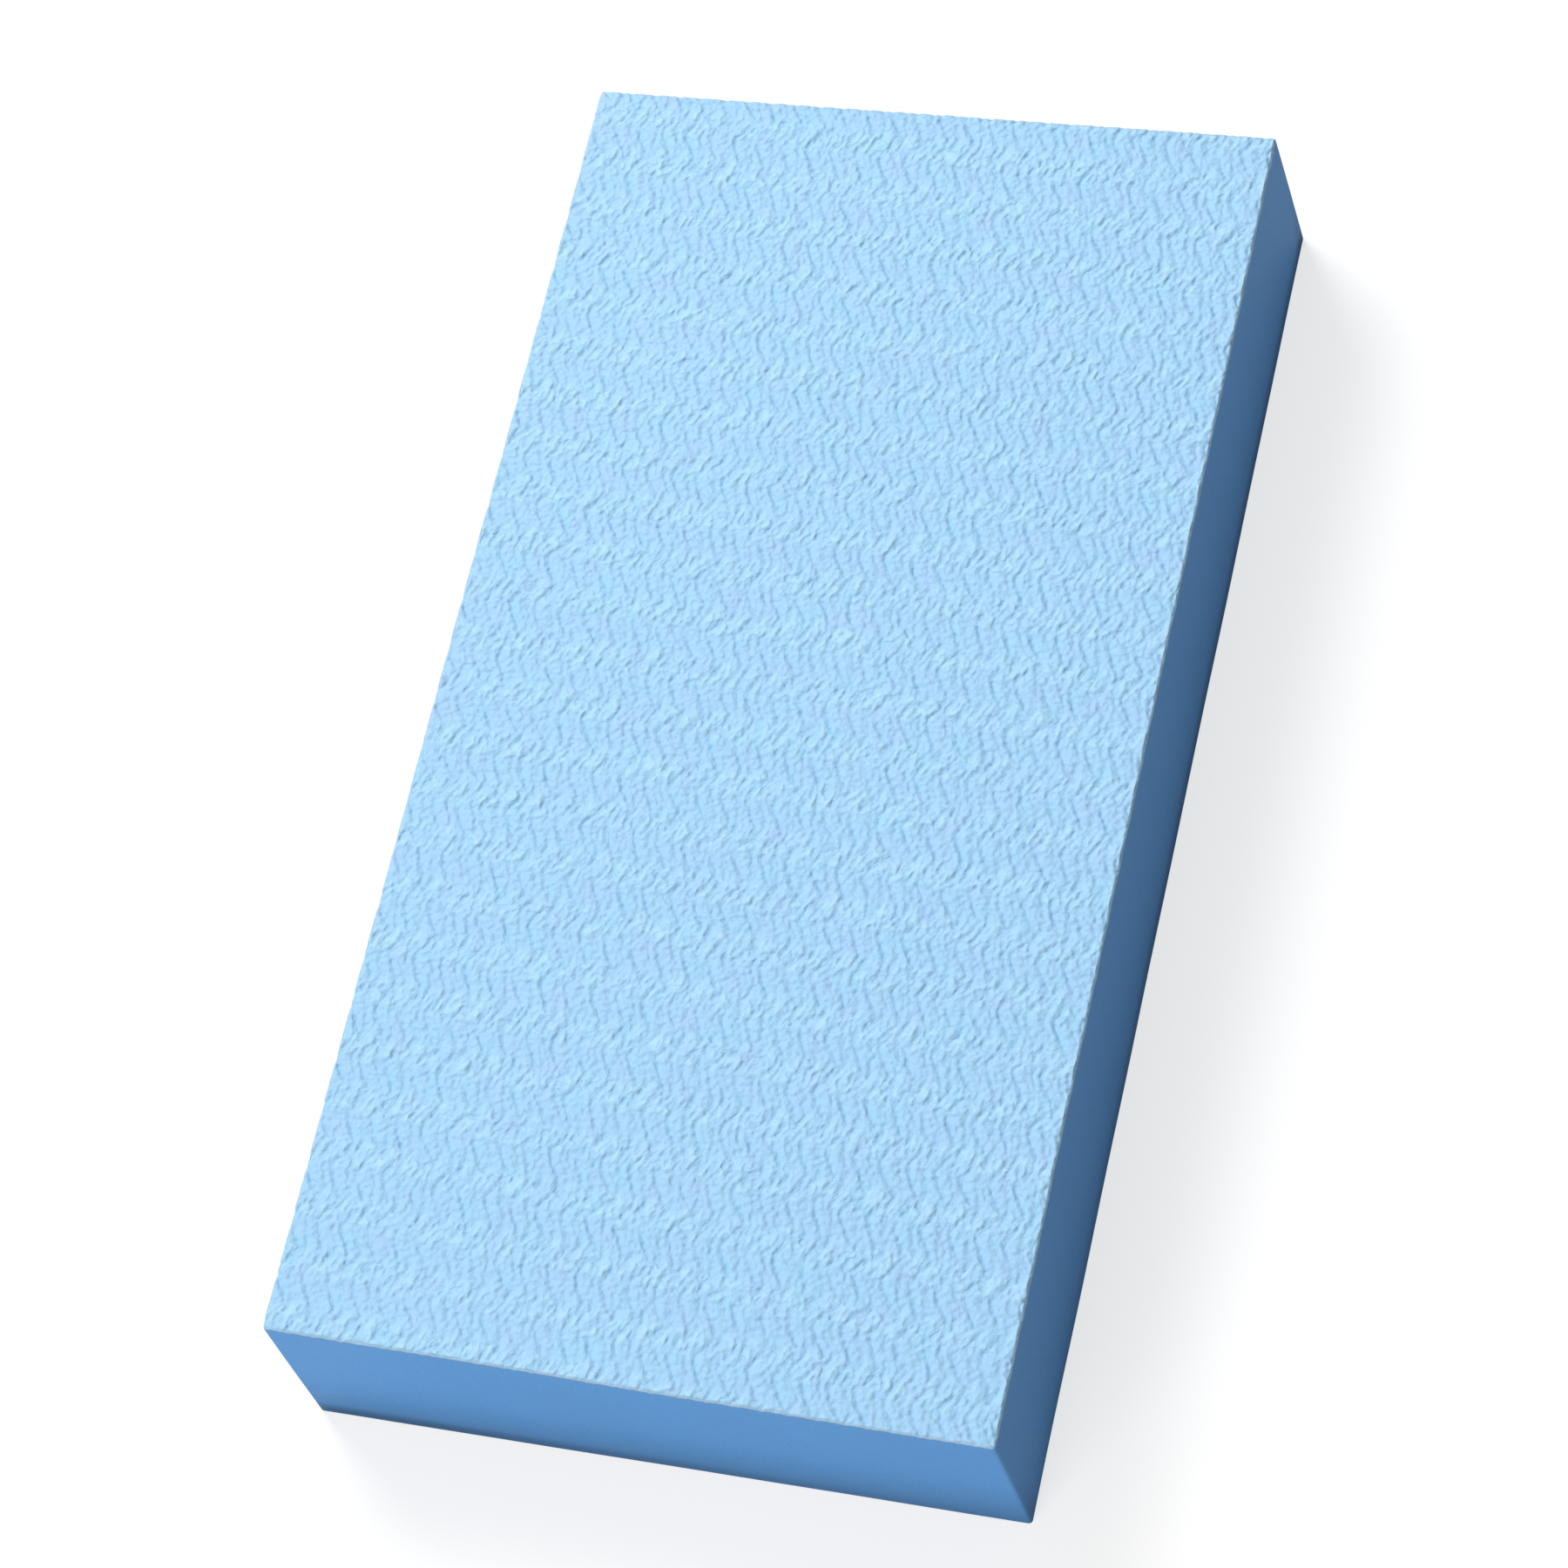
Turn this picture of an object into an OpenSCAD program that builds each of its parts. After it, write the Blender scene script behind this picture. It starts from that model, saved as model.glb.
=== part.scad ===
// Foam mat: one block of closed-cell foam, cut square on all four sides, with a herringbone
// of raised ribs pressed into its whole upper face.
// Origin: middle of the underside. X runs across the mat, Y along it, Z up.

/* [Block] */
// Length of the mat, along Y
mat_length = 200; // [60:1:215]
// Width of the mat, along X
mat_width = 104; // [40:1:112]
// Thickness of the mat, from the underside to the top of the ribs
mat_thickness = 28; // [8:0.5:60]

/* [Emboss] */
// Spacing of the rib pairs across the mat: one wide rib and one narrow rib
rib_pitch = 3.82; // [3.6:0.02:9]
// Width of the narrow rib, between the two grooves that bound it
narrow_rib = 1.3; // [0.8:0.1:1.9]
// Depth of the grooves
groove_depth = 0.5; // [0.2:0.05:1.2]
// Length of one row of slanting ribs, before they turn the other way
row_length = 4.03; // [3.8:0.01:10]
// How far a groove moves sideways over one row
zigzag_step = 2.3; // [1:0.1:3]
// How far short of the row's end the second groove turns
turn_lead = 0.8; // [0:0.1:1.5]
// Slant of the rows from square across the mat, in degrees
row_slant = 2.9; // [-6:0.1:6]

/* [Hidden] */

foam_colour = "lightskyblue";

// The ribs are modelled in a layer on top of a plain block. It starts this far below the grooves.
layer_margin = 2;
// A corner of the pattern that lies nearer the cut edge than this is moved onto it.
snap = 0.05;

half_length = mat_length / 2;
half_width = mat_width / 2;
layer_bottom = mat_thickness - groove_depth - layer_margin;
groove_bottom = mat_thickness - groove_depth;
row_drop = tan(row_slant); // fall of a row along Y for each mm across

// Four lines run along the mat in each pitch: a groove, the top of the narrow rib, a second
// groove and the top of the wide rib. Line numbers rise with X and row numbers with Y.
LINES = 4;
spare = 2; // pitches and rows that are drawn past the edges, for the slant and the zigzag
last_line = LINES * (ceil(half_width / rib_pitch) + spare);
last_row = ceil((half_length + half_width * abs(row_drop)) / row_length) + spare;

function wrap(i) = (i % LINES + LINES) % LINES;
function is_turn(row) = row % 2 != 0; // at odd rows the grooves stand zigzag_step to the left
function mid(a, b) = (a + b) / 2;

// Where a groove crosses the start of a row, as [x, y] with the row square across: side 0 is the
// first groove of its pitch and side 1 the second, which turns turn_lead early.
function groove_at(pitch, side, row) =
    let (early = is_turn(row) && side == 1 ? turn_lead : 0,
         step = is_turn(row) ? zigzag_step * (1 - early / row_length) : 0)
    [pitch * rib_pitch + side * narrow_rib - step, row * row_length + early];

// The same for any of the four lines: a rib's top runs midway between its two grooves.
function line_at(line, row) =
    let (pitch = floor(line / LINES), kind = wrap(line))
    kind == 0 ? groove_at(pitch, 0, row)
    : kind == 1 ? mid(groove_at(pitch, 0, row), groove_at(pitch, 1, row))
    : kind == 2 ? groove_at(pitch, 1, row)
    : mid(groove_at(pitch, 1, row), groove_at(pitch + 1, 0, row));

function height_of(line) = wrap(line) % 2 == 0 ? groove_bottom : mat_thickness;

// Height of the surface where the start of a row meets a long side of the mat
function edge_height(x, row) =
    let (start = floor((x - line_at(0, row)[0]) / rib_pitch) * LINES)
    lookup(x, [for (k = [start : start + LINES]) [line_at(k, row)[0], height_of(k)]]);

// A point of the relief, with what lies past the long sides brought in to them
function relief_point(line, row) =
    let (flat = line_at(line, row),
         side = sign(flat[0]) * half_width,
         cut = abs(flat[0]) > half_width - snap,
         x = cut ? side : flat[0],
         y = cut ? row * row_length + (is_turn(row) ? turn_lead / 2 : 0) : flat[1])
    [x, y - x * row_drop, cut ? edge_height(side, row) : height_of(line)];

function crossing(a, b, y) = let (t = (y - a[1]) / (b[1] - a[1]))
    [a[0] + (b[0] - a[0]) * t, y, a[2] + (b[2] - a[2]) * t];

rows = [for (row = [-last_row : last_row]) row];
lines = [for (line = [-last_line : last_line]) line];
grid = [for (line = lines) [for (row = rows) relief_point(line, row)]];

// For each line, the rows between which it meets the two short ends
first = [for (run = grid) max([for (k = [0 : len(rows) - 1]) if (run[k][1] < snap - half_length) k])];
last = [for (run = grid) min([for (k = [0 : len(rows) - 1]) if (run[k][1] > half_length - snap) k])];

// The relief with both ends cut: rows past an end all stand where their line meets it.
function cut_run(i) = let (run = grid[i],
    near = crossing(run[first[i]], run[first[i] + 1], -half_length),
    far = crossing(run[last[i] - 1], run[last[i]], half_length))
    [for (k = [0 : len(rows) - 1]) k <= first[i] ? near : k >= last[i] ? far : run[k]];

relief = [for (i = [0 : len(lines) - 1]) cut_run(i)];

across = len(lines);
along = len(rows);
function top_id(i, k) = i * along + k;

// The outline of the relief, counter-clockwise from above, as point numbers with no repeats
ring_all = [
    for (i = [0 : across - 1]) [i, 0],
    for (k = [1 : along - 1]) [across - 1, k],
    for (i = [across - 2 : -1 : 0]) [i, along - 1],
    for (k = [along - 2 : -1 : 1]) [0, k]
];
function spot(p) = relief[p[0]][p[1]];
ring = [for (n = [0 : len(ring_all) - 1])
    if (spot(ring_all[n]) != spot(ring_all[(n + 1) % len(ring_all)])) ring_all[n]];

relief_points = [for (run = relief) each run];
floor_points = [for (p = ring) [spot(p)[0], spot(p)[1], layer_bottom]];
centre_point = [0, 0, layer_bottom];
layer_points = concat(relief_points, floor_points, [centre_point]);
floor_start = len(relief_points);
centre = floor_start + len(floor_points);

// Triangles are listed clockwise from outside. Those that a cut has closed up are left out.
function open_face(f) = layer_points[f[0]] != layer_points[f[1]]
    && layer_points[f[1]] != layer_points[f[2]] && layer_points[f[2]] != layer_points[f[0]];

relief_faces = [for (i = [0 : across - 2], k = [0 : along - 2])
    let (a = top_id(i, k), b = top_id(i + 1, k), c = top_id(i + 1, k + 1), d = top_id(i, k + 1))
    each [[a, d, b], [b, d, c]]];
side_faces = [for (n = [0 : len(ring) - 1])
    let (m = (n + 1) % len(ring),
         a = top_id(ring[n][0], ring[n][1]), b = top_id(ring[m][0], ring[m][1]))
    each [[a, b, floor_start + m], [a, floor_start + m, floor_start + n],
          [floor_start + n, floor_start + m, centre]]];
layer_faces = [for (f = concat(relief_faces, side_faces)) if (open_face(f)) f];

module plain_block() {
    translate([-half_width, -half_length, 0])
        cube([mat_width, mat_length, layer_bottom]);
}

module ribbed_layer() {
    polyhedron(points = layer_points, faces = layer_faces);
}

module foam_block() {
    color(foam_colour)
        union() {
            plain_block();
            ribbed_layer();
        }
}

foam_block();
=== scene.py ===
"""Foam mat: a block of light-blue closed-cell foam with a herringbone pressed into its top.

Run as a script, it builds the mat, its materials and a plain studio round it.
"""

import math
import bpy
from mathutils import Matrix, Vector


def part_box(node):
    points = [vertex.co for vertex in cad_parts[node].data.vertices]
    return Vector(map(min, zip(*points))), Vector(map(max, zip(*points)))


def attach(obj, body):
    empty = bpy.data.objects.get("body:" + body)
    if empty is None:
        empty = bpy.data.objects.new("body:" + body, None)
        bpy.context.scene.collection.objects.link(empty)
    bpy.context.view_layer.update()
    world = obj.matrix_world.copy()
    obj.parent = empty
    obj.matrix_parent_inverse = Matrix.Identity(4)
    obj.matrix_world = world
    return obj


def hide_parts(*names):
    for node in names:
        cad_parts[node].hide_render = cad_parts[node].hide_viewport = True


bl_info = {
    "name": "Foam mat",
    "version": (1, 0, 0),
    "blender": (4, 5, 0),
    "location": "3D View > Sidebar > Foam mat",
    "description": "Builds an embossed foam mat and a plain studio to show it in",
    "category": "Add Mesh",
}

import bmesh
import bpy
import numpy as np
from mathutils import Matrix, Vector, noise

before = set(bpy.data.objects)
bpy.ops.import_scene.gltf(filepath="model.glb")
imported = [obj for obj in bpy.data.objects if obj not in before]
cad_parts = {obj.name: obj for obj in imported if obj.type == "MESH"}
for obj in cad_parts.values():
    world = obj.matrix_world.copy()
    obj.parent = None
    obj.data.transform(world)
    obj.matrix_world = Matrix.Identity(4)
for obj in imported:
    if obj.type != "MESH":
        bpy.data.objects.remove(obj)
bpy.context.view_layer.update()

NODE = "foam_block"
MM = 0.001

# The grooves of one repeat. Each point is (mm to the right of the first groove's turn, rows along
# the mat from it, share of the full depth, share of the full width). A row is one slant of the
# herringbone, and a repeat is two rows long.
FIRST_GROOVE = (
    (0.1, -0.05, 0.40, 0.9),
    (0.0, 0.0, 0.72, 0.95),
    (-1.0, 0.36, 0.74, 0.9),
    (-1.85, 0.75, 0.78, 0.95),
    (-2.3, 1.0, 0.75, 1.0),
    (-2.0, 1.14, 0.62, 0.85),
    (-1.55, 1.28, 0.66, 0.8),
    (-1.1, 1.44, 0.74, 0.85),
    (-0.88, 1.6, 0.76, 0.9),
    (-0.82, 1.76, 0.40, 0.85),
    (-0.82, 1.84, 0.05, 0.8),
)
SECOND_GROOVE = (
    (2.0, 0.70, 0.30, 0.9),
    (1.5, 0.40, 0.30, 0.9),
    (1.2, 0.12, 0.55, 1.1),
    (1.0, -0.04, 0.80, 1.3),
    (0.65, -0.22, 1.00, 1.45),
    (0.25, -0.45, 0.55, 0.85),
    (-0.3, -0.72, 0.30, 0.8),
    (0.1, -0.89, 0.62, 1.0),
    (0.4, -1.05, 0.68, 1.1),
    (0.55, -1.3, 0.35, 1.0),
    (0.6, -1.42, 0.05, 0.9),
)
# The faint hollow along the middle of each wide rib
RIB_HOLLOW = (
    (2.1, -0.05, 0.05, 1.2),
    (1.6, -0.3, 0.14, 1.2),
    (1.0, -0.62, 0.15, 1.2),
    (0.8, -0.75, 0.05, 1.0),
)
# Where the lines of the relief's grid cross the mat over one repeat, in rows: closer together
# round the ends of the grooves
GRID_ROWS = (0.0, 0.14, 0.36, 0.62, 0.84, 1.0, 1.12, 1.26, 1.43, 1.62, 1.82)
COLUMNS_PER_PITCH = 11
# How far the fine creases in a rib move across the mat for each mm along it
CREASE_SLOPE = 0.34
# Sizes of the noises' features, across and along the mat
BROAD = (3.5 * MM, 3.5 * MM)
FINE = (1.1 * MM, 1.2 * MM)
LONG = (0.5 * MM, 1.2 * MM)
# No place is deeper than this share of the groove depth
DEEPEST = 1.4
# Faces round each rounded edge, and how many points of the rim go to one of the side's
EDGE_STEPS = 3
RIM_PER_SIDE_POINT = 6
# A face whose normal points down by more than this is the underside
DOWNWARD = -0.999

# Painted shade on the cut foam at its foot: the height that the painted shade of the two ends
# reaches, where along the mat that shade starts and is full, and the heights at which the painted
# shade line along the foot starts and is full, with the distance over which it fades toward the
# near right corner
SHADE_HEIGHT = 18 * MM
SHADE_START = 95.5 * MM
SHADE_RAMP = 2.5 * MM
SHADE_LINE_HEIGHT = 3.6 * MM
SHADE_LINE_RAMP = 2.2 * MM
SHADE_LINE_FADE = 90 * MM

# The floor reaches this far in under the mat
FLOOR_LAP = 0.7 * MM
FLOOR_HALF_SIZE = 4.0

CAMERA_LENS = 113.03
CAMERA_TARGET = (0.00248, -0.00889, 0.028)
CAMERA_DISTANCE = 0.68327
CAMERA_DIRECTION = (39.63, 61.63)
CAMERA_ROLL = math.radians(-29.56)


# ---------------------------------------------------------------- settings


class FoamMatSettings(bpy.types.PropertyGroup):
    """Sizes and colours of the mat."""

    rib_pitch: bpy.props.FloatProperty(
        name="Rib pitch",
        description="Spacing of the herringbone's repeats across the mat",
        default=3.82 * MM,
        subtype="DISTANCE",
        unit="LENGTH",
    )
    row_length: bpy.props.FloatProperty(
        name="Row length",
        description="Length of one row of slanting ribs",
        default=4.03 * MM,
        subtype="DISTANCE",
        unit="LENGTH",
    )
    zigzag_step: bpy.props.FloatProperty(
        name="Zigzag step",
        description="How far a groove moves sideways over one row",
        default=2.3 * MM,
        subtype="DISTANCE",
        unit="LENGTH",
    )
    row_slant: bpy.props.FloatProperty(
        name="Row slant",
        description="Slant of the rows from square across the mat",
        default=math.radians(2.9),
        subtype="ANGLE",
        unit="ROTATION",
    )
    row_start: bpy.props.FloatProperty(
        name="Row start",
        description="Place along the mat at which the middle row starts",
        default=-1.2 * MM,
        subtype="DISTANCE",
        unit="LENGTH",
    )
    groove_depth: bpy.props.FloatProperty(
        name="Groove depth",
        description="Depth of the deepest groove",
        default=0.48 * MM,
        subtype="DISTANCE",
        unit="LENGTH",
    )
    groove_width: bpy.props.FloatProperty(
        name="Groove half width",
        description="Distance from a groove's middle at which it is a third as deep",
        default=0.36 * MM,
        subtype="DISTANCE",
        unit="LENGTH",
    )
    edge_radius: bpy.props.FloatProperty(
        name="Edge radius",
        description="Rounding of the cut edges round the top",
        default=0.35 * MM,
        subtype="DISTANCE",
        unit="LENGTH",
    )
    foot_radius: bpy.props.FloatProperty(
        name="Foot radius",
        description="Rounding of the cut edges round the underside",
        default=0.25 * MM,
        subtype="DISTANCE",
        unit="LENGTH",
    )
    corner_radius: bpy.props.FloatProperty(
        name="Corner radius",
        description="Rounding of the four upright corners",
        default=0.6 * MM,
        subtype="DISTANCE",
        unit="LENGTH",
    )
    crinkle: bpy.props.FloatProperty(
        name="Crinkle",
        description="Height of the fine creases along the ribs",
        default=0.2 * MM,
        subtype="DISTANCE",
        unit="LENGTH",
    )
    wobble: bpy.props.FloatProperty(
        name="Wobble",
        description="How far the ribs wander from their true lines",
        default=0.38 * MM,
        subtype="DISTANCE",
        unit="LENGTH",
    )
    cut_wave: bpy.props.FloatProperty(
        name="Cut wave",
        description="How far the cut sides wander inwards from flat",
        default=0.15 * MM,
        subtype="DISTANCE",
        unit="LENGTH",
    )
    end_lean: bpy.props.FloatProperty(
        name="End lean",
        description="How far the top edge of the near end stands back from its foot",
        default=2.0 * MM,
        subtype="DISTANCE",
        unit="LENGTH",
    )
    end_skew: bpy.props.FloatProperty(
        name="End skew",
        description="How much further that top edge stands back at its left end",
        default=1.0 * MM,
        subtype="DISTANCE",
        unit="LENGTH",
    )
    skin_colour: bpy.props.FloatVectorProperty(
        name="Skin colour",
        description="Colour of the pressed upper face",
        default=(0.378, 0.648, 0.91),
        subtype="COLOR",
        size=3,
    )
    cut_colour: bpy.props.FloatVectorProperty(
        name="Cut colour",
        description="Colour of the foam where it is cut",
        default=(0.146, 0.43, 0.90),
        subtype="COLOR",
        size=3,
    )


# ---------------------------------------------------------------- relief


def triangle_wave(rows, softness=0.97):
    """0 at even rows and 1 at odd ones, straight between with slightly rounded turns."""
    return 0.5 - 0.5 * np.arcsin(softness * np.cos(math.pi * rows)) / math.asin(softness)


def groove_share(x, y, path, settings, width):
    """How much of the full depth a groove takes at (x, y), as arrays in metres."""
    share = np.zeros_like(x)
    pitch = settings.rib_pitch
    period = 2 * settings.row_length
    start_x = x - np.floor(x / pitch) * pitch
    start_y = y - np.floor(y / period) * period
    for shift_x in (-2, -1, 0, 1, 2):
        for shift_y in (-1, 0, 1, 2):
            for a, b in zip(path, path[1:]):
                ax = a[0] * MM + shift_x * pitch
                ay = a[1] * settings.row_length + shift_y * period
                along_x = (b[0] - a[0]) * MM
                along_y = (b[1] - a[1]) * settings.row_length
                length_2 = along_x**2 + along_y**2
                t = ((start_x - ax) * along_x + (start_y - ay) * along_y) / length_2
                t = np.clip(t, 0, 1)
                gap_2 = (start_x - ax - t * along_x) ** 2 + (start_y - ay - t * along_y) ** 2
                depth = a[2] + (b[2] - a[2]) * t
                reach = width * (a[3] + (b[3] - a[3]) * t)
                share = np.maximum(share, depth * np.exp(-gap_2 / reach**2))
    return share


def relief_depth(x, y, settings):
    """Depth below the top of the ribs, from 0 to 1, for places along and square to the rows."""
    left = np.ones_like(x)
    for path in (FIRST_GROOVE, SECOND_GROOVE, RIB_HOLLOW):
        left *= 1 - groove_share(x, y, path, settings, settings.groove_width)
    return 1 - left


def wander(points, scale, seed):
    """Smooth noise from about -1 to 1 at each point, over features of these sizes in X and Y."""
    offset = Vector((seed, 2 * seed, 3 * seed))
    return np.array(
        [noise.noise(Vector((x / scale[0], y / scale[1], 0)) + offset) for x, y in points]
    )


def stray(place, settings, seed):
    """How far the ribs wander from their true lines at each place."""
    return settings.wobble * (wander(place, BROAD, seed) + 0.6 * wander(place, FINE, seed + 1))


def crease(x, y, rising):
    """The fine creases, which follow each row's own slant and are strongest in the rising rows."""
    up = wander(np.stack((x - CREASE_SLOPE * y, y), axis=1), LONG, 6.3)
    down = wander(np.stack((x + CREASE_SLOPE * y, y), axis=1), LONG, 7.3)
    return 0.85 * rising * up + 0.55 * (1 - rising) * down


def relief_sheet(bm, low, high, settings, slant):
    """The pressed face, as a grid whose lines follow the first groove, larger than the mat."""
    spare = 2
    half_width = (high.x - low.x) / 2
    half_length = (high.y - low.y) / 2
    drop = math.tan(settings.row_slant)
    pitches = math.ceil(half_width / settings.rib_pitch) + spare
    repeats = math.ceil((half_length + half_width * drop) / (2 * settings.row_length)) + 1
    lines = len(GRID_ROWS)
    bmesh.ops.create_grid(
        bm,
        x_segments=2 * pitches * COLUMNS_PER_PITCH,
        y_segments=2 * repeats * lines,
        size=1,
    )
    grid = np.array([v.co for v in bm.verts])
    line = np.rint((grid[:, 1] + 1) * repeats * lines).astype(int)
    along = 2.0 * (line // lines - repeats) + np.array(GRID_ROWS)[line % lines]
    column = grid[:, 0] * pitches * settings.rib_pitch
    x = column - settings.zigzag_step * triangle_wave(along)
    y = along * settings.row_length
    place = np.stack((x, y), axis=1)
    depth = relief_depth(x + stray(place, settings, 1.3), y + stray(place, settings, 4.3), settings)
    depth *= np.clip(0.82 + 0.9 * wander(place, FINE, 9.3), 0.2, 1.1)
    rising = np.clip(0.5 - 0.9 * np.sin(math.pi * along), 0, 1)
    creases = np.maximum(settings.crinkle * (crease(x, y, rising) + 0.5), 0)
    sink = np.clip(settings.groove_depth * depth + creases, 0, DEEPEST * settings.groove_depth)
    for v, share, vx, vy, down in zip(bm.verts, rising, x, y, sink):
        v[slant] = share
        v.co = (vx, vy - vx * drop + settings.row_start, high.z - down)


def cut_to_outline(bm, low, high, settings):
    """Trims the sheet to the mat's plan, less the edge radius, with cuts round each corner."""
    inset = settings.edge_radius
    for axis in (0, 1):
        for sign, reach in ((-1, low[axis]), (1, high[axis])):
            normal = Vector((0, 0, 0))
            normal[axis] = sign
            for part in (1.0, 0.4):
                point = Vector((0, 0, 0))
                point[axis] = reach - sign * (inset + part * settings.corner_radius)
                cut(bm, point, normal, False)
            point[axis] = reach - sign * inset
            cut(bm, point, normal, True)


def cut(bm, point, normal, clear):
    bmesh.ops.bisect_plane(
        bm,
        geom=bm.verts[:] + bm.edges[:] + bm.faces[:],
        dist=1e-7,
        plane_co=point,
        plane_no=normal,
        clear_outer=clear,
    )


def outline_normal(co, low, high, reach):
    """Which way is out, as -1, 0 or 1 along X and Y, for a point on the outline."""
    out = Vector((0, 0, 0))
    for axis in (0, 1):
        if co[axis] > high[axis] - reach:
            out[axis] = 1
        elif co[axis] < low[axis] + reach:
            out[axis] = -1
    return out


def extrude_ring(bm, ring_edges):
    """Extrudes a closed ring of edges and gives the new ring's edges and vertices."""
    made = bmesh.ops.extrude_edge_only(bm, edges=ring_edges)["geom"]
    verts = [g for g in made if isinstance(g, bmesh.types.BMVert)]
    new = set(verts)
    edges = [
        g
        for g in made
        if isinstance(g, bmesh.types.BMEdge) and g.verts[0] in new and g.verts[1] in new
    ]
    return edges, verts


def thin_ring(bm, verts, low, high, settings):
    """Drops most points along each side of an open ring, and keeps them all at the corners."""
    sides = {}
    for v in verts:
        out = outline_normal(v.co, low, high, settings.corner_radius + 2 * settings.edge_radius)
        if out.length == 1:
            sides.setdefault(tuple(out), []).append(v)
    spare = []
    for (out_x, _, _), row in sides.items():
        row.sort(key=lambda v: v.co.y if out_x else v.co.x)
        spare += [v for number, v in enumerate(row) if number % RIM_PER_SIDE_POINT]
    bmesh.ops.dissolve_verts(bm, verts=spare)


def quarter_turn():
    """The angle at the start and at the end of each step round a rounded edge."""
    for step in range(1, EDGE_STEPS + 1):
        yield math.pi / 2 * (step - 1) / EDGE_STEPS, math.pi / 2 * step / EDGE_STEPS


def add_sides(bm, low, high, settings, skin):
    """The rounded top edge, the four cut sides, the rounded lower edge and the underside."""
    at_edge = 1.5 * settings.edge_radius
    radius = settings.edge_radius
    ring = [e for e in bm.edges if e.is_boundary]
    for number, (before, angle) in enumerate(quarter_turn(), 1):
        ring, verts = extrude_ring(bm, ring)
        for v in verts:
            out = outline_normal(v.co, low, high, at_edge)
            v.co += out * radius * (math.sin(angle) - math.sin(before))
            v.co.z -= radius * (math.cos(before) - math.cos(angle))
            v[skin] = 1 - number / EDGE_STEPS
    top = high.z - radius - settings.groove_depth
    bottom = low.z + settings.foot_radius
    for level in (top - 0.4 * MM, top - 1.5 * MM, (top + bottom) / 2, bottom):
        ring, verts = extrude_ring(bm, ring)
        for v in verts:
            v.co.z = level
            v[skin] = 0.0
        if level > top - 0.5 * MM:
            thin_ring(bm, verts, low, high, settings)
            ring = [e for e in bm.edges if e.is_boundary]
    radius = settings.foot_radius
    at_edge = 1.5 * radius
    for before, angle in quarter_turn():
        ring, verts = extrude_ring(bm, ring)
        for v in verts:
            out = outline_normal(v.co, low, high, at_edge)
            v.co -= out * radius * (math.cos(before) - math.cos(angle))
            v.co.z -= radius * (math.sin(angle) - math.sin(before))
    bmesh.ops.holes_fill(bm, edges=ring, sides=0)


def round_corners(bm, low, high, settings):
    """Draws each square upright corner in to an arc in plan."""
    radius = settings.corner_radius
    for v in bm.verts:
        past = [
            max(v.co.x - high.x, low.x - v.co.x) + radius,
            max(v.co.y - high.y, low.y - v.co.y) + radius,
        ]
        if min(past) > 0:
            shrink = max(past) / math.hypot(*past)
            for axis in (0, 1):
                sign = 1 if v.co[axis] > 0 else -1
                v.co[axis] -= sign * past[axis] * (1 - shrink)


def wave_sides(bm, low, high, settings):
    """Lets the knife's cut wander a little inwards, so that no side is a perfect plane."""
    for v in bm.verts:
        out = outline_normal(v.co, low, high, 1.2 * settings.edge_radius)
        if out.length > 0:
            place = Vector((v.co.x, v.co.y, 2.5 * v.co.z)) / (22 * MM)
            inward = 0.5 + 0.5 * noise.noise(place)
            v.co -= out * settings.cut_wave * inward


def lean_near_end(bm, low, high, settings):
    """Sets the near end a little out of square: its top edge stands back, most at the left."""
    size = high - low
    for v in bm.verts:
        near = (high.y - v.co.y) / size.y
        left = (high.x - v.co.x) / size.x
        up = (v.co.z - low.z) / size.z
        v.co.y += near * up * (settings.end_lean + left * settings.end_skew)


# ---------------------------------------------------------------- materials


class Tree:
    """Short calls for building a material's nodes."""

    def __init__(self, name):
        self.material = bpy.data.materials.new(name)
        self.material.use_nodes = True
        self.nodes = self.material.node_tree.nodes
        self.links = self.material.node_tree.links
        self.nodes.clear()

    def add(self, kind, **values):
        """A node with these properties or inputs set. An input's value may be a socket."""
        node = self.nodes.new(kind)
        for key, value in values.items():
            if hasattr(node, key):
                setattr(node, key, value)
            else:
                self.put(node.inputs[key.replace("_", " ")], value)
        return node

    def put(self, socket, value):
        if isinstance(value, bpy.types.NodeSocket):
            self.links.new(value, socket)
        else:
            socket.default_value = value

    def maths(self, operation, *values):
        node = self.nodes.new("ShaderNodeMath")
        node.operation = operation
        for socket, value in zip(node.inputs, values):
            self.put(socket, value)
        return node.outputs[0]

    def mix(self, factor, a, b, blend="MIX"):
        node = self.nodes.new("ShaderNodeMix")
        node.data_type = "RGBA"
        node.blend_type = blend
        self.put(node.inputs[0], factor)
        self.put(node.inputs[6], a)
        self.put(node.inputs[7], b)
        return node.outputs[2]


    def clamp(self, value):
        return self.maths("MAXIMUM", self.maths("MINIMUM", value, 1.0), 0.0)

    def noise(self, vector, scale, detail=0.0, rough=0.5):
        node = self.add("ShaderNodeTexNoise", Scale=scale, Detail=detail, Roughness=rough)
        self.put(node.inputs["Vector"], vector)
        return node.outputs["Fac"]

    def turned(self, vector, angle, stretch):
        """Coordinates turned about Z, so that a noise on them runs along that slant."""
        node = self.add("ShaderNodeMapping", vector_type="TEXTURE", Vector=vector)
        node.inputs["Rotation"].default_value = (0.0, 0.0, angle)
        node.inputs["Scale"].default_value = (1.0, stretch, 1.0)
        return node.outputs["Vector"]


def rgba(colour, scale=1.0):
    return (*[min(1.0, c * scale) for c in colour], 1.0)


def tinted(colour, *shares):
    return rgba([c * share for c, share in zip(colour, shares)])


def grey(level):
    return rgba((level, level, level))


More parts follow.
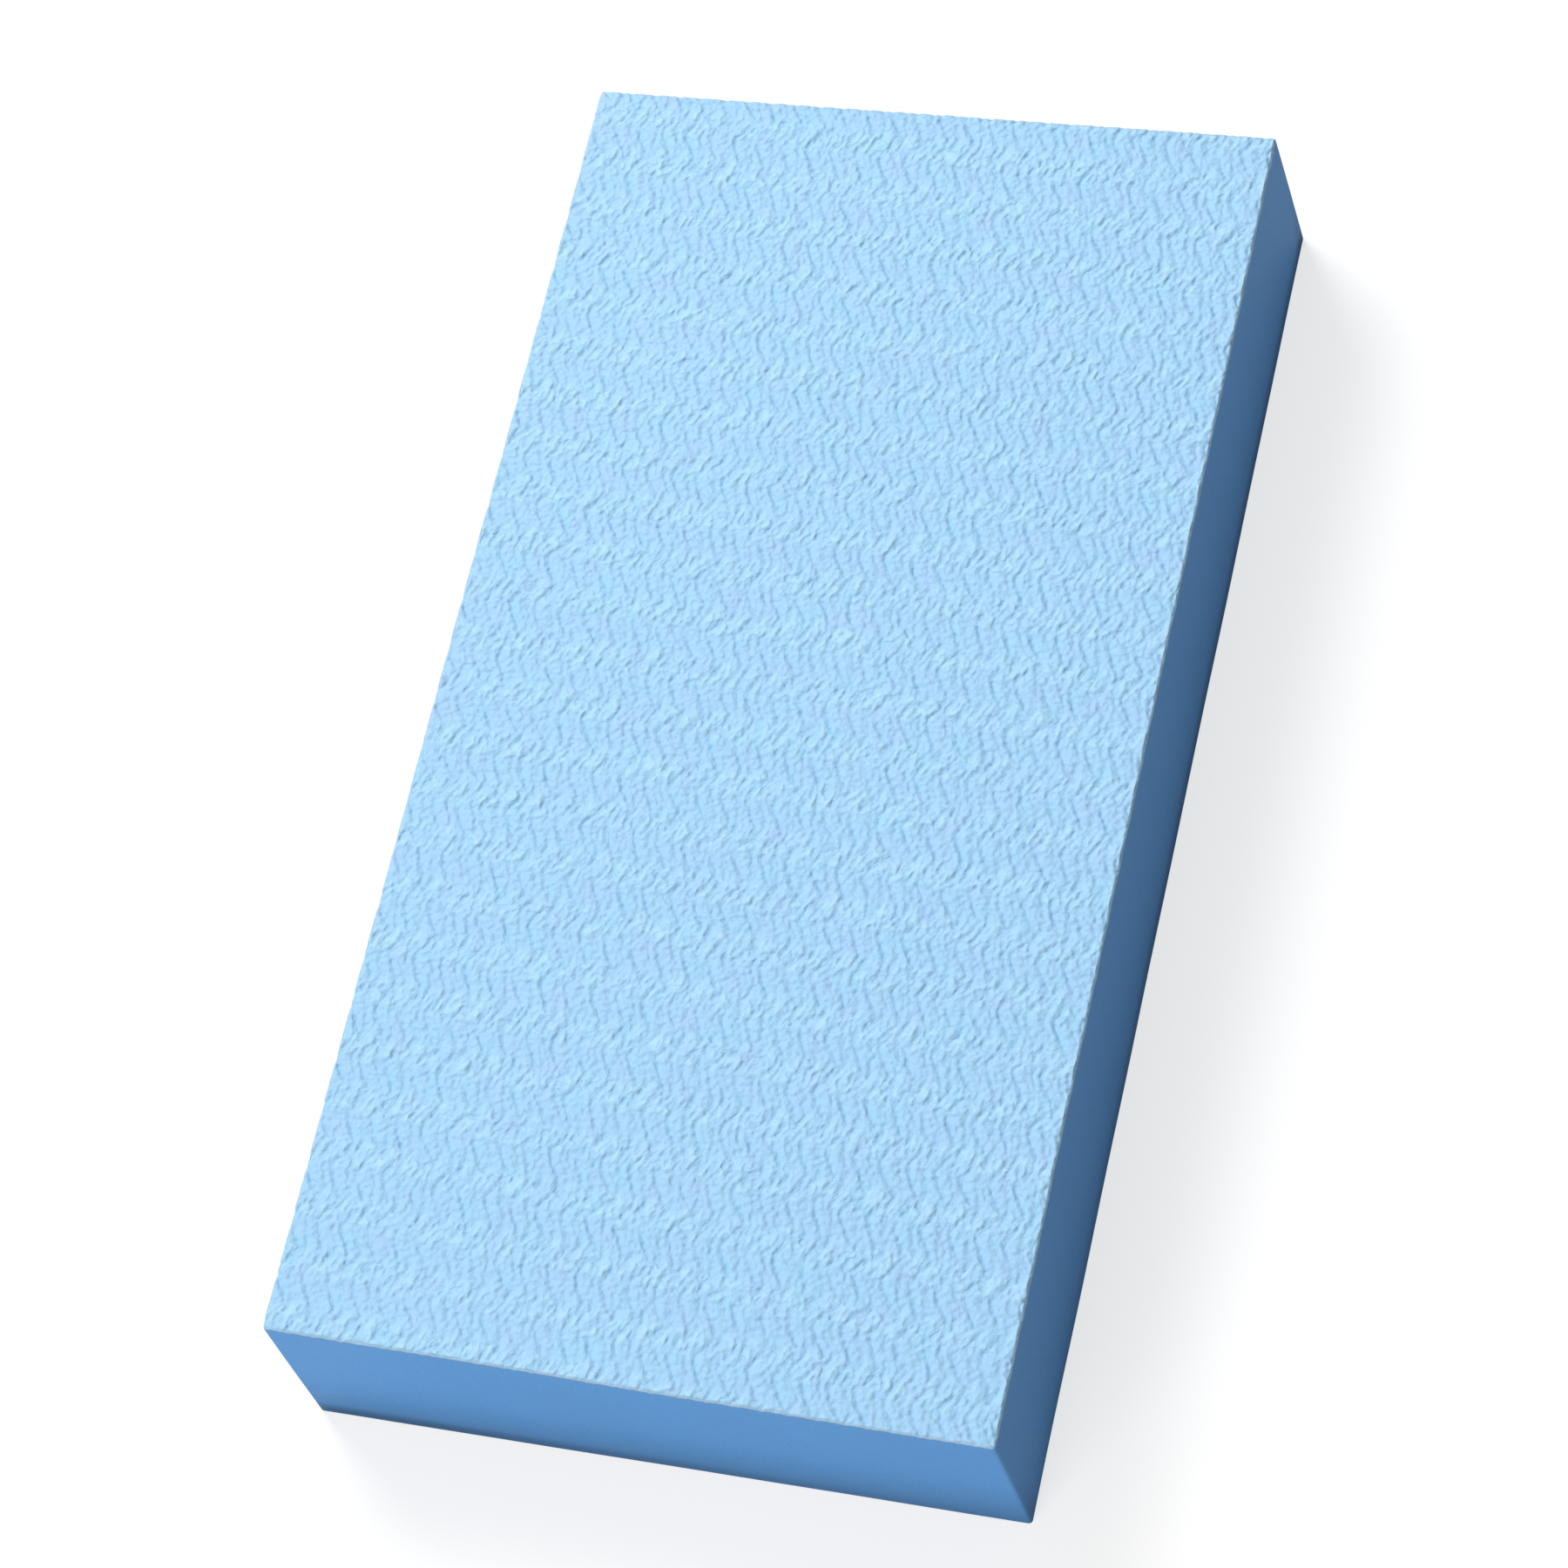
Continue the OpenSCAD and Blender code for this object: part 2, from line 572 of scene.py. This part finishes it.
def skin_colours(t, settings, coords, slant, up_creases, cloud):
    """Pressed skin: faintly clouded, painted highlight on the creases, painted bluer shade in the
    grooves.
    """
    pale = settings.skin_colour
    depth = t.add("ShaderNodeAttribute", attribute_name="depth").outputs["Fac"]
    tint = t.noise(coords, 210.0, 2.0)
    lilac, aqua = tinted(pale, 1.08, 0.94, 1.0), tinted(pale, 0.90, 1.06, 1.0)
    skin = t.mix(tint, lilac, aqua)
    # Painted highlight: paler and whiter on the crests of the creases in the rising rows
    painted_crest_highlight = t.maths("MULTIPLY_ADD", up_creases, 4.0, -1.8)
    skin = t.mix(t.maths("MULTIPLY", slant, painted_crest_highlight), skin, tinted(pale, 1.16, 1.13, 1.07))
    skin = t.mix(t.maths("MULTIPLY_ADD", cloud, 0.22, -0.03), skin, rgba(pale, 0.86))
    # Painted shade: darker and bluer down in the grooves
    return t.mix(t.maths("MULTIPLY", depth, 0.08), skin, rgba(settings.cut_colour, 0.95))


def cut_colours(t, settings, coords, cells, grain, cloud):
    """Cut foam: opened cells make a fine grain, and painted shade darkens it at the foot."""
    blue = settings.cut_colour
    cut = t.mix(cloud, rgba(blue, 0.94), rgba(blue, 1.06))
    cut = t.mix(t.maths("MULTIPLY", cells, 0.35), cut, rgba(blue, 0.75))
    cut = t.mix(t.maths("MULTIPLY", grain, 0.2), cut, rgba(blue, 0.7))

    # Painted shade: the two ends grow darker toward the foot
    place = t.add("ShaderNodeSeparateXYZ", Vector=coords).outputs
    low_down = t.maths("SUBTRACT", 1.0, t.maths("DIVIDE", place["Z"], SHADE_HEIGHT))
    low_down = t.maths("POWER", t.maths("MAXIMUM", low_down, 0.0), 2.0)
    at_end = t.maths("SUBTRACT", t.maths("ABSOLUTE", place["Y"]), SHADE_START)
    at_end = t.clamp(t.maths("DIVIDE", at_end, SHADE_RAMP))
    painted_end_shade = t.maths("MULTIPLY", t.maths("MULTIPLY", low_down, at_end), 0.95)
    cut = t.mix(painted_end_shade, cut, rgba(blue, 0.58))

    # A painted shade line along the foot, which fades out toward the near right corner
    low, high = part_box(NODE)
    from_corner = t.add("ShaderNodeVectorMath", operation="DISTANCE")
    t.put(from_corner.inputs[0], coords)
    from_corner.inputs[1].default_value = (high[0], low[1], low[2])
    fade = t.maths("MINIMUM", t.maths("DIVIDE", from_corner.outputs["Value"], SHADE_LINE_FADE), 1.0)
    line = t.clamp(t.maths("DIVIDE", t.maths("SUBTRACT", SHADE_LINE_HEIGHT, place["Z"]), SHADE_LINE_RAMP))
    line = t.maths("MULTIPLY", line, t.maths("MULTIPLY_ADD", at_end, 0.36, 0.54))
    return t.mix(t.maths("MULTIPLY", line, fade), cut, rgba(blue, 0.33))


def bumps(t, skin, slant, up_creases, down_creases, pebbles, cells, grain):
    """The finest relief: creases along each row's own slant, cells and grain."""
    down_creases = t.maths("MULTIPLY", down_creases, t.maths("MULTIPLY_ADD", slant, -0.5, 0.5))
    creases = t.maths("MULTIPLY_ADD", up_creases, slant, down_creases)
    mottle = t.maths("MULTIPLY_ADD", pebbles, 0.7, creases)
    normal = None
    for height, strength, distance in (
        (t.maths("MULTIPLY", mottle, skin), 1.0, 0.33 * MM),
        (cells, 0.5, 0.06 * MM),
        (grain, 0.5, 0.08 * MM),
    ):
        bump = t.add("ShaderNodeBump", Strength=strength, Distance=distance, Height=height)
        if normal:
            t.put(bump.inputs["Normal"], normal)
        normal = bump.outputs["Normal"]
    return normal


def foam_material(settings):
    """Closed-cell foam: pale pressed skin above, deeper blue where it is cut."""
    t = Tree("blue_foam")
    coords = t.add("ShaderNodeTexCoord").outputs["Object"]
    slant = t.add("ShaderNodeAttribute", attribute_name="slant").outputs["Fac"]
    skin = t.add("ShaderNodeAttribute", attribute_name="skin").outputs["Fac"]
    cloud = t.noise(coords, 60.0, 3.0)
    grain = t.noise(coords, 1500.0, 4.0, 0.65)
    cells = t.add("ShaderNodeTexVoronoi", Scale=4200.0, Vector=coords).outputs["Distance"]
    lean = math.atan(CREASE_SLOPE)
    up_creases = t.noise(t.turned(coords, -lean, 1.7), 1380.0)
    down_creases = t.noise(t.turned(coords, lean, 1.3), 1300.0)
    pebbles = t.noise(coords, 1350.0)

    cut_foam = cut_colours(t, settings, coords, cells, grain, cloud)
    base = t.mix(skin, cut_foam, skin_colours(t, settings, coords, slant, up_creases, cloud))

    # A painted highlight: a thin pale rim where the skin turns over the cut edge
    painted_rim_highlight = t.maths("MULTIPLY", skin, t.maths("SUBTRACT", 1.0, skin))
    base = t.mix(t.maths("MULTIPLY", painted_rim_highlight, 2.6), base, rgba((0.60, 0.84, 0.97)))

    shader = t.add("ShaderNodeBsdfPrincipled")
    t.put(shader.inputs["Base Color"], base)
    t.put(shader.inputs["Roughness"], t.maths("MULTIPLY_ADD", grain, 0.2, 0.46))
    normal = bumps(t, skin, slant, up_creases, down_creases, pebbles, cells, grain)
    t.put(shader.inputs["Normal"], normal)
    shader.inputs["Specular IOR Level"].default_value = 0.32
    out = t.add("ShaderNodeOutputMaterial")
    t.put(out.inputs["Surface"], shader.outputs["BSDF"])
    return t.material


# ---------------------------------------------------------------- pieces


def mesh_object(bm, name, smooth):
    mesh = bpy.data.meshes.new(name)
    bm.to_mesh(mesh)
    bm.free()
    for face in mesh.polygons:
        face.use_smooth = smooth
    obj = bpy.data.objects.new(name, mesh)
    bpy.context.scene.collection.objects.link(obj)
    return obj


class FOAMMAT_OT_block(bpy.types.Operator):
    """Build the embossed foam block and its material"""

    bl_idname = "foammat.block"
    bl_label = "Foam block"

    def execute(self, context):
        settings = context.scene.foam_mat
        low, high = [Vector(corner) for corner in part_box(NODE)]
        bm = bmesh.new()
        skin = bm.verts.layers.float.new("skin")
        depth = bm.verts.layers.float.new("depth")
        slant = bm.verts.layers.float.new("slant")
        relief_sheet(bm, low, high, settings, slant)
        cut_to_outline(bm, low, high, settings)
        for v in bm.verts:
            v[skin] = 1.0
            v[depth] = (high.z - v.co.z) / settings.groove_depth
        add_sides(bm, low, high, settings, skin)
        wave_sides(bm, low, high, settings)
        round_corners(bm, low, high, settings)
        lean_near_end(bm, low, high, settings)
        bmesh.ops.recalc_face_normals(bm, faces=bm.faces[:])
        block = mesh_object(bm, "foam_mat", True)
        for face in block.data.polygons:
            if face.normal.z < DOWNWARD:
                face.use_smooth = False
        block.data.materials.append(foam_material(settings))
        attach(block, "root")
        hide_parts(NODE)
        return {"FINISHED"}


class FOAMMAT_OT_studio(bpy.types.Operator):
    """Build the floor, the lamps, the world and the camera"""

    bl_idname = "foammat.studio"
    bl_label = "Studio"

    def execute(self, context):
        build_floor()
        build_world(context.scene)
        build_lamps()
        build_camera(context.scene)
        return {"FINISHED"}


def build_floor():
    """A large pale floor, open beneath the mat so that the two don't share a plane there."""
    low, high = [Vector(corner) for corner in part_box(NODE)]
    bm = bmesh.new()
    bmesh.ops.create_grid(bm, x_segments=1, y_segments=1, size=FLOOR_HALF_SIZE)
    for axis in (0, 1):
        for sign, reach in ((-1, low[axis]), (1, high[axis])):
            normal = Vector((0, 0, 0))
            normal[axis] = sign
            cut(bm, normal * abs(reach - sign * FLOOR_LAP), normal, False)
    under = [f for f in bm.faces if f.calc_center_median().length < 10 * MM]
    bmesh.ops.delete(bm, geom=under, context="FACES")
    floor = mesh_object(bm, "floor", False)
    t = Tree("floor")
    # The camera sees it lit from within, and the mat sees it plain
    seen = t.add("ShaderNodeLightPath").outputs["Is Camera Ray"]
    dull = t.add("ShaderNodeBsdfDiffuse", Color=grey(0.48))
    pale = t.add("ShaderNodeBsdfDiffuse", Color=grey(0.36))
    glow = t.add("ShaderNodeEmission", Color=grey(1.0), Strength=0.7)
    bright = t.add("ShaderNodeAddShader")
    t.put(bright.inputs[0], pale.outputs[0])
    t.put(bright.inputs[1], glow.outputs[0])
    either = t.add("ShaderNodeMixShader")
    t.put(either.inputs[0], seen)
    t.put(either.inputs[1], dull.outputs[0])
    t.put(either.inputs[2], bright.outputs[0])
    out = t.add("ShaderNodeOutputMaterial")
    t.put(out.inputs["Surface"], either.outputs[0])
    floor.data.materials.append(t.material)


def build_world(scene):
    world = bpy.data.worlds.new("studio")
    world.use_nodes = True
    scene.world = world
    background = world.node_tree.nodes["Background"]
    background.inputs["Color"].default_value = (1, 1, 1, 1)
    background.inputs["Strength"].default_value = 0.31


def aim_matrix(place, target, roll=0.0):
    """Stands a lamp or camera at place, looking at target, turned by roll about its view."""
    turn = (target - place).to_track_quat("-Z", "Y").to_matrix().to_4x4()
    return Matrix.Translation(place) @ turn @ Matrix.Rotation(roll, 4, "Z")


def add_lamp(name, azimuth, elevation, distance, size, strength):
    """A square softbox, with strength as the light that it gives a surface that faces it."""
    lamp = bpy.data.lights.new(name, "AREA")
    lamp.shape = "SQUARE"
    lamp.size = size
    lamp.energy = strength * math.pi * math.pi * distance**2
    obj = bpy.data.objects.new(name, lamp)
    place = distance * direction(azimuth, elevation)
    obj.matrix_world = aim_matrix(place, Vector((0, 0, 0)))
    bpy.context.scene.collection.objects.link(obj)


def direction(azimuth, elevation):
    """Azimuth 0 is from the near end, -Y, and 90 from the right, +X. Both are in degrees."""
    a, e = math.radians(azimuth), math.radians(elevation)
    return Vector((math.sin(a) * math.cos(e), -math.cos(a) * math.cos(e), math.sin(e)))


def build_lamps():
    add_lamp("key", azimuth=-140, elevation=46, distance=1.4, size=0.6, strength=0.83)
    add_lamp("front_fill", azimuth=-14, elevation=30, distance=0.9, size=0.5, strength=0.4)


def build_camera(scene):
    camera = bpy.data.cameras.new("camera")
    camera.sensor_width = 36.0
    camera.lens = CAMERA_LENS
    camera.clip_start = 0.01
    obj = bpy.data.objects.new("camera", camera)
    target = Vector(CAMERA_TARGET)
    place = target + CAMERA_DISTANCE * direction(*CAMERA_DIRECTION)
    obj.matrix_world = aim_matrix(place, target, CAMERA_ROLL)
    scene.collection.objects.link(obj)
    scene.camera = obj
    scene.view_settings.view_transform = "Standard"


# ---------------------------------------------------------------- add-on


class FOAMMAT_PT_panel(bpy.types.Panel):
    """Lists the mat's pieces and its studio"""

    bl_label = "Foam mat"
    bl_idname = "FOAMMAT_PT_panel"
    bl_space_type = "VIEW_3D"
    bl_region_type = "UI"
    bl_category = "Foam mat"

    def draw(self, context):
        for operator in (FOAMMAT_OT_block, FOAMMAT_OT_studio):
            self.layout.operator(operator.bl_idname)


CLASSES = (FoamMatSettings, FOAMMAT_OT_block, FOAMMAT_OT_studio, FOAMMAT_PT_panel)


def register():
    for cls in CLASSES:
        bpy.utils.register_class(cls)
    bpy.types.Scene.foam_mat = bpy.props.PointerProperty(type=FoamMatSettings)


def unregister():
    del bpy.types.Scene.foam_mat
    for cls in reversed(CLASSES):
        bpy.utils.unregister_class(cls)


def main():
    register()
    bpy.ops.foammat.block()
    bpy.ops.foammat.studio()


if __name__ == "__main__":
    main()
